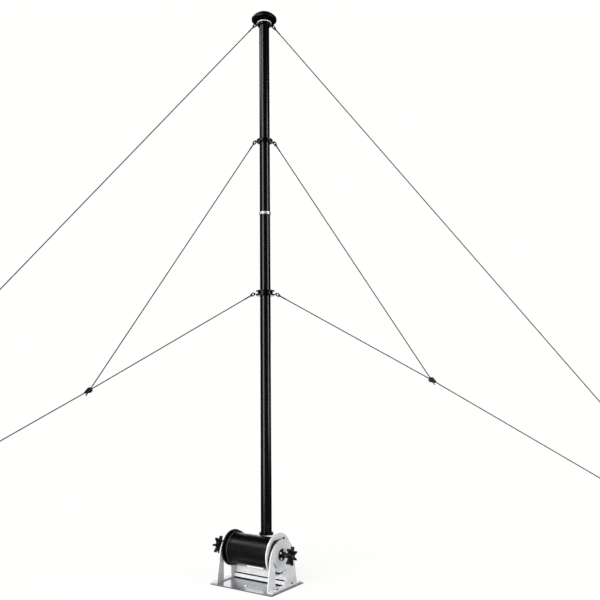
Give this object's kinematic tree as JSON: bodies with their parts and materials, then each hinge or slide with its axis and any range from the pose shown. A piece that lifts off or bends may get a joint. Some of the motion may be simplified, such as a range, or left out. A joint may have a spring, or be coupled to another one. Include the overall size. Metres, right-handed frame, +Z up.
{
  "type": "roll-up tube radio mast on a reel stand",
  "caption": "Tall black tube mast that rolls up on a reel between two plates on a flat base, with collars, a cap and taut guy lines to ground anchors.",
  "frame": {"origin": "on the underside of the base plate, below the middle of the reel's axle", "axes": "+Z up along the mast, +X along the reel's axle to the side with the bare aluminium flange, +Y to the back, where the mast stands"},
  "size_m": [5.3744, 5.3744, 4.327],
  "materials": {
    "aluminium_disc": "satin turned face",
    "anchor_steel": "black coated steel",
    "axle_steel": "bright turned",
    "black_hub": "satin black",
    "black_reel": "satin black powder coat",
    "brushed_plate": "satin anodised sheet",
    "cap_plastic": "moulded, satin",
    "clamp_plastic": "moulded",
    "collar_plastic": "moulded",
    "guy_rope": "braided cord, taut",
    "housing_plastic": "moulded, matt",
    "knob_plastic": "moulded, fine grain",
    "link_steel": "blackened steel",
    "mast_composite": "smooth black composite, semi-gloss",
    "steel_band": "bright"
  },
  "bodies": {
    "stand": {"anchor_link_high_left": "link_steel", "anchor_link_high_right": "link_steel", "anchor_link_low_left": "link_steel", "anchor_link_low_right": "link_steel", "axle": "axle_steel", "base_plate": "brushed_plate", "brake_housing": "housing_plastic", "cap_sleeve": "collar_plastic", "foot_ring": "collar_plastic", "ground_anchor_left": "anchor_steel", "ground_anchor_right": "anchor_steel", "ground_guy_left": "guy_rope", "ground_guy_right": "guy_rope", "guide_post": "brushed_plate", "guide_yoke": "brushed_plate", "hub_left": "black_hub", "hub_right": "black_hub", "joint_band": "steel_band", "lower_collar": "collar_plastic", "lower_guy_left": "guy_rope", "lower_guy_right": "guy_rope", "lower_link_left": "link_steel", "lower_link_right": "link_steel", "mast_cap": "cap_plastic", "mast_strip": "mast_composite", "mast_tube": "mast_composite", "rope_clamp_left": "clamp_plastic", "rope_clamp_right": "clamp_plastic", "side_plate_left": "brushed_plate", "side_plate_right": "brushed_plate", "tie_bar_lower": "brushed_plate", "tie_bar_upper": "brushed_plate", "top_guy_left": "guy_rope", "top_guy_right": "guy_rope", "top_link_left": "link_steel", "top_link_right": "link_steel", "upper_collar": "collar_plastic", "upper_guy_left": "guy_rope", "upper_guy_right": "guy_rope", "upper_link_left": "link_steel", "upper_link_right": "link_steel"},
    "reel": {"reel_drum": "black_reel", "flange_left": "black_reel", "flange_right": "aluminium_disc"},
    "knob_left": {"star_knob_left": "knob_plastic"},
    "knob_right": {"star_knob_right": "knob_plastic"}
  },
  "joints": [
    {"name": "reel_spin", "type": "hinge", "parent": "stand", "child": "reel", "pos_m": [0, 0, 0.224], "axis": [1, 0, 0], "continuous": true},
    {"name": "knob_left_turn", "type": "hinge", "parent": "stand", "child": "knob_left", "pos_m": [-0.342, 0, 0.224], "axis": [1, 0, 0], "continuous": true},
    {"name": "knob_right_turn", "type": "hinge", "parent": "stand", "child": "knob_right", "pos_m": [0.305, 0, 0.224], "axis": [1, 0, 0], "continuous": true}
  ]
}
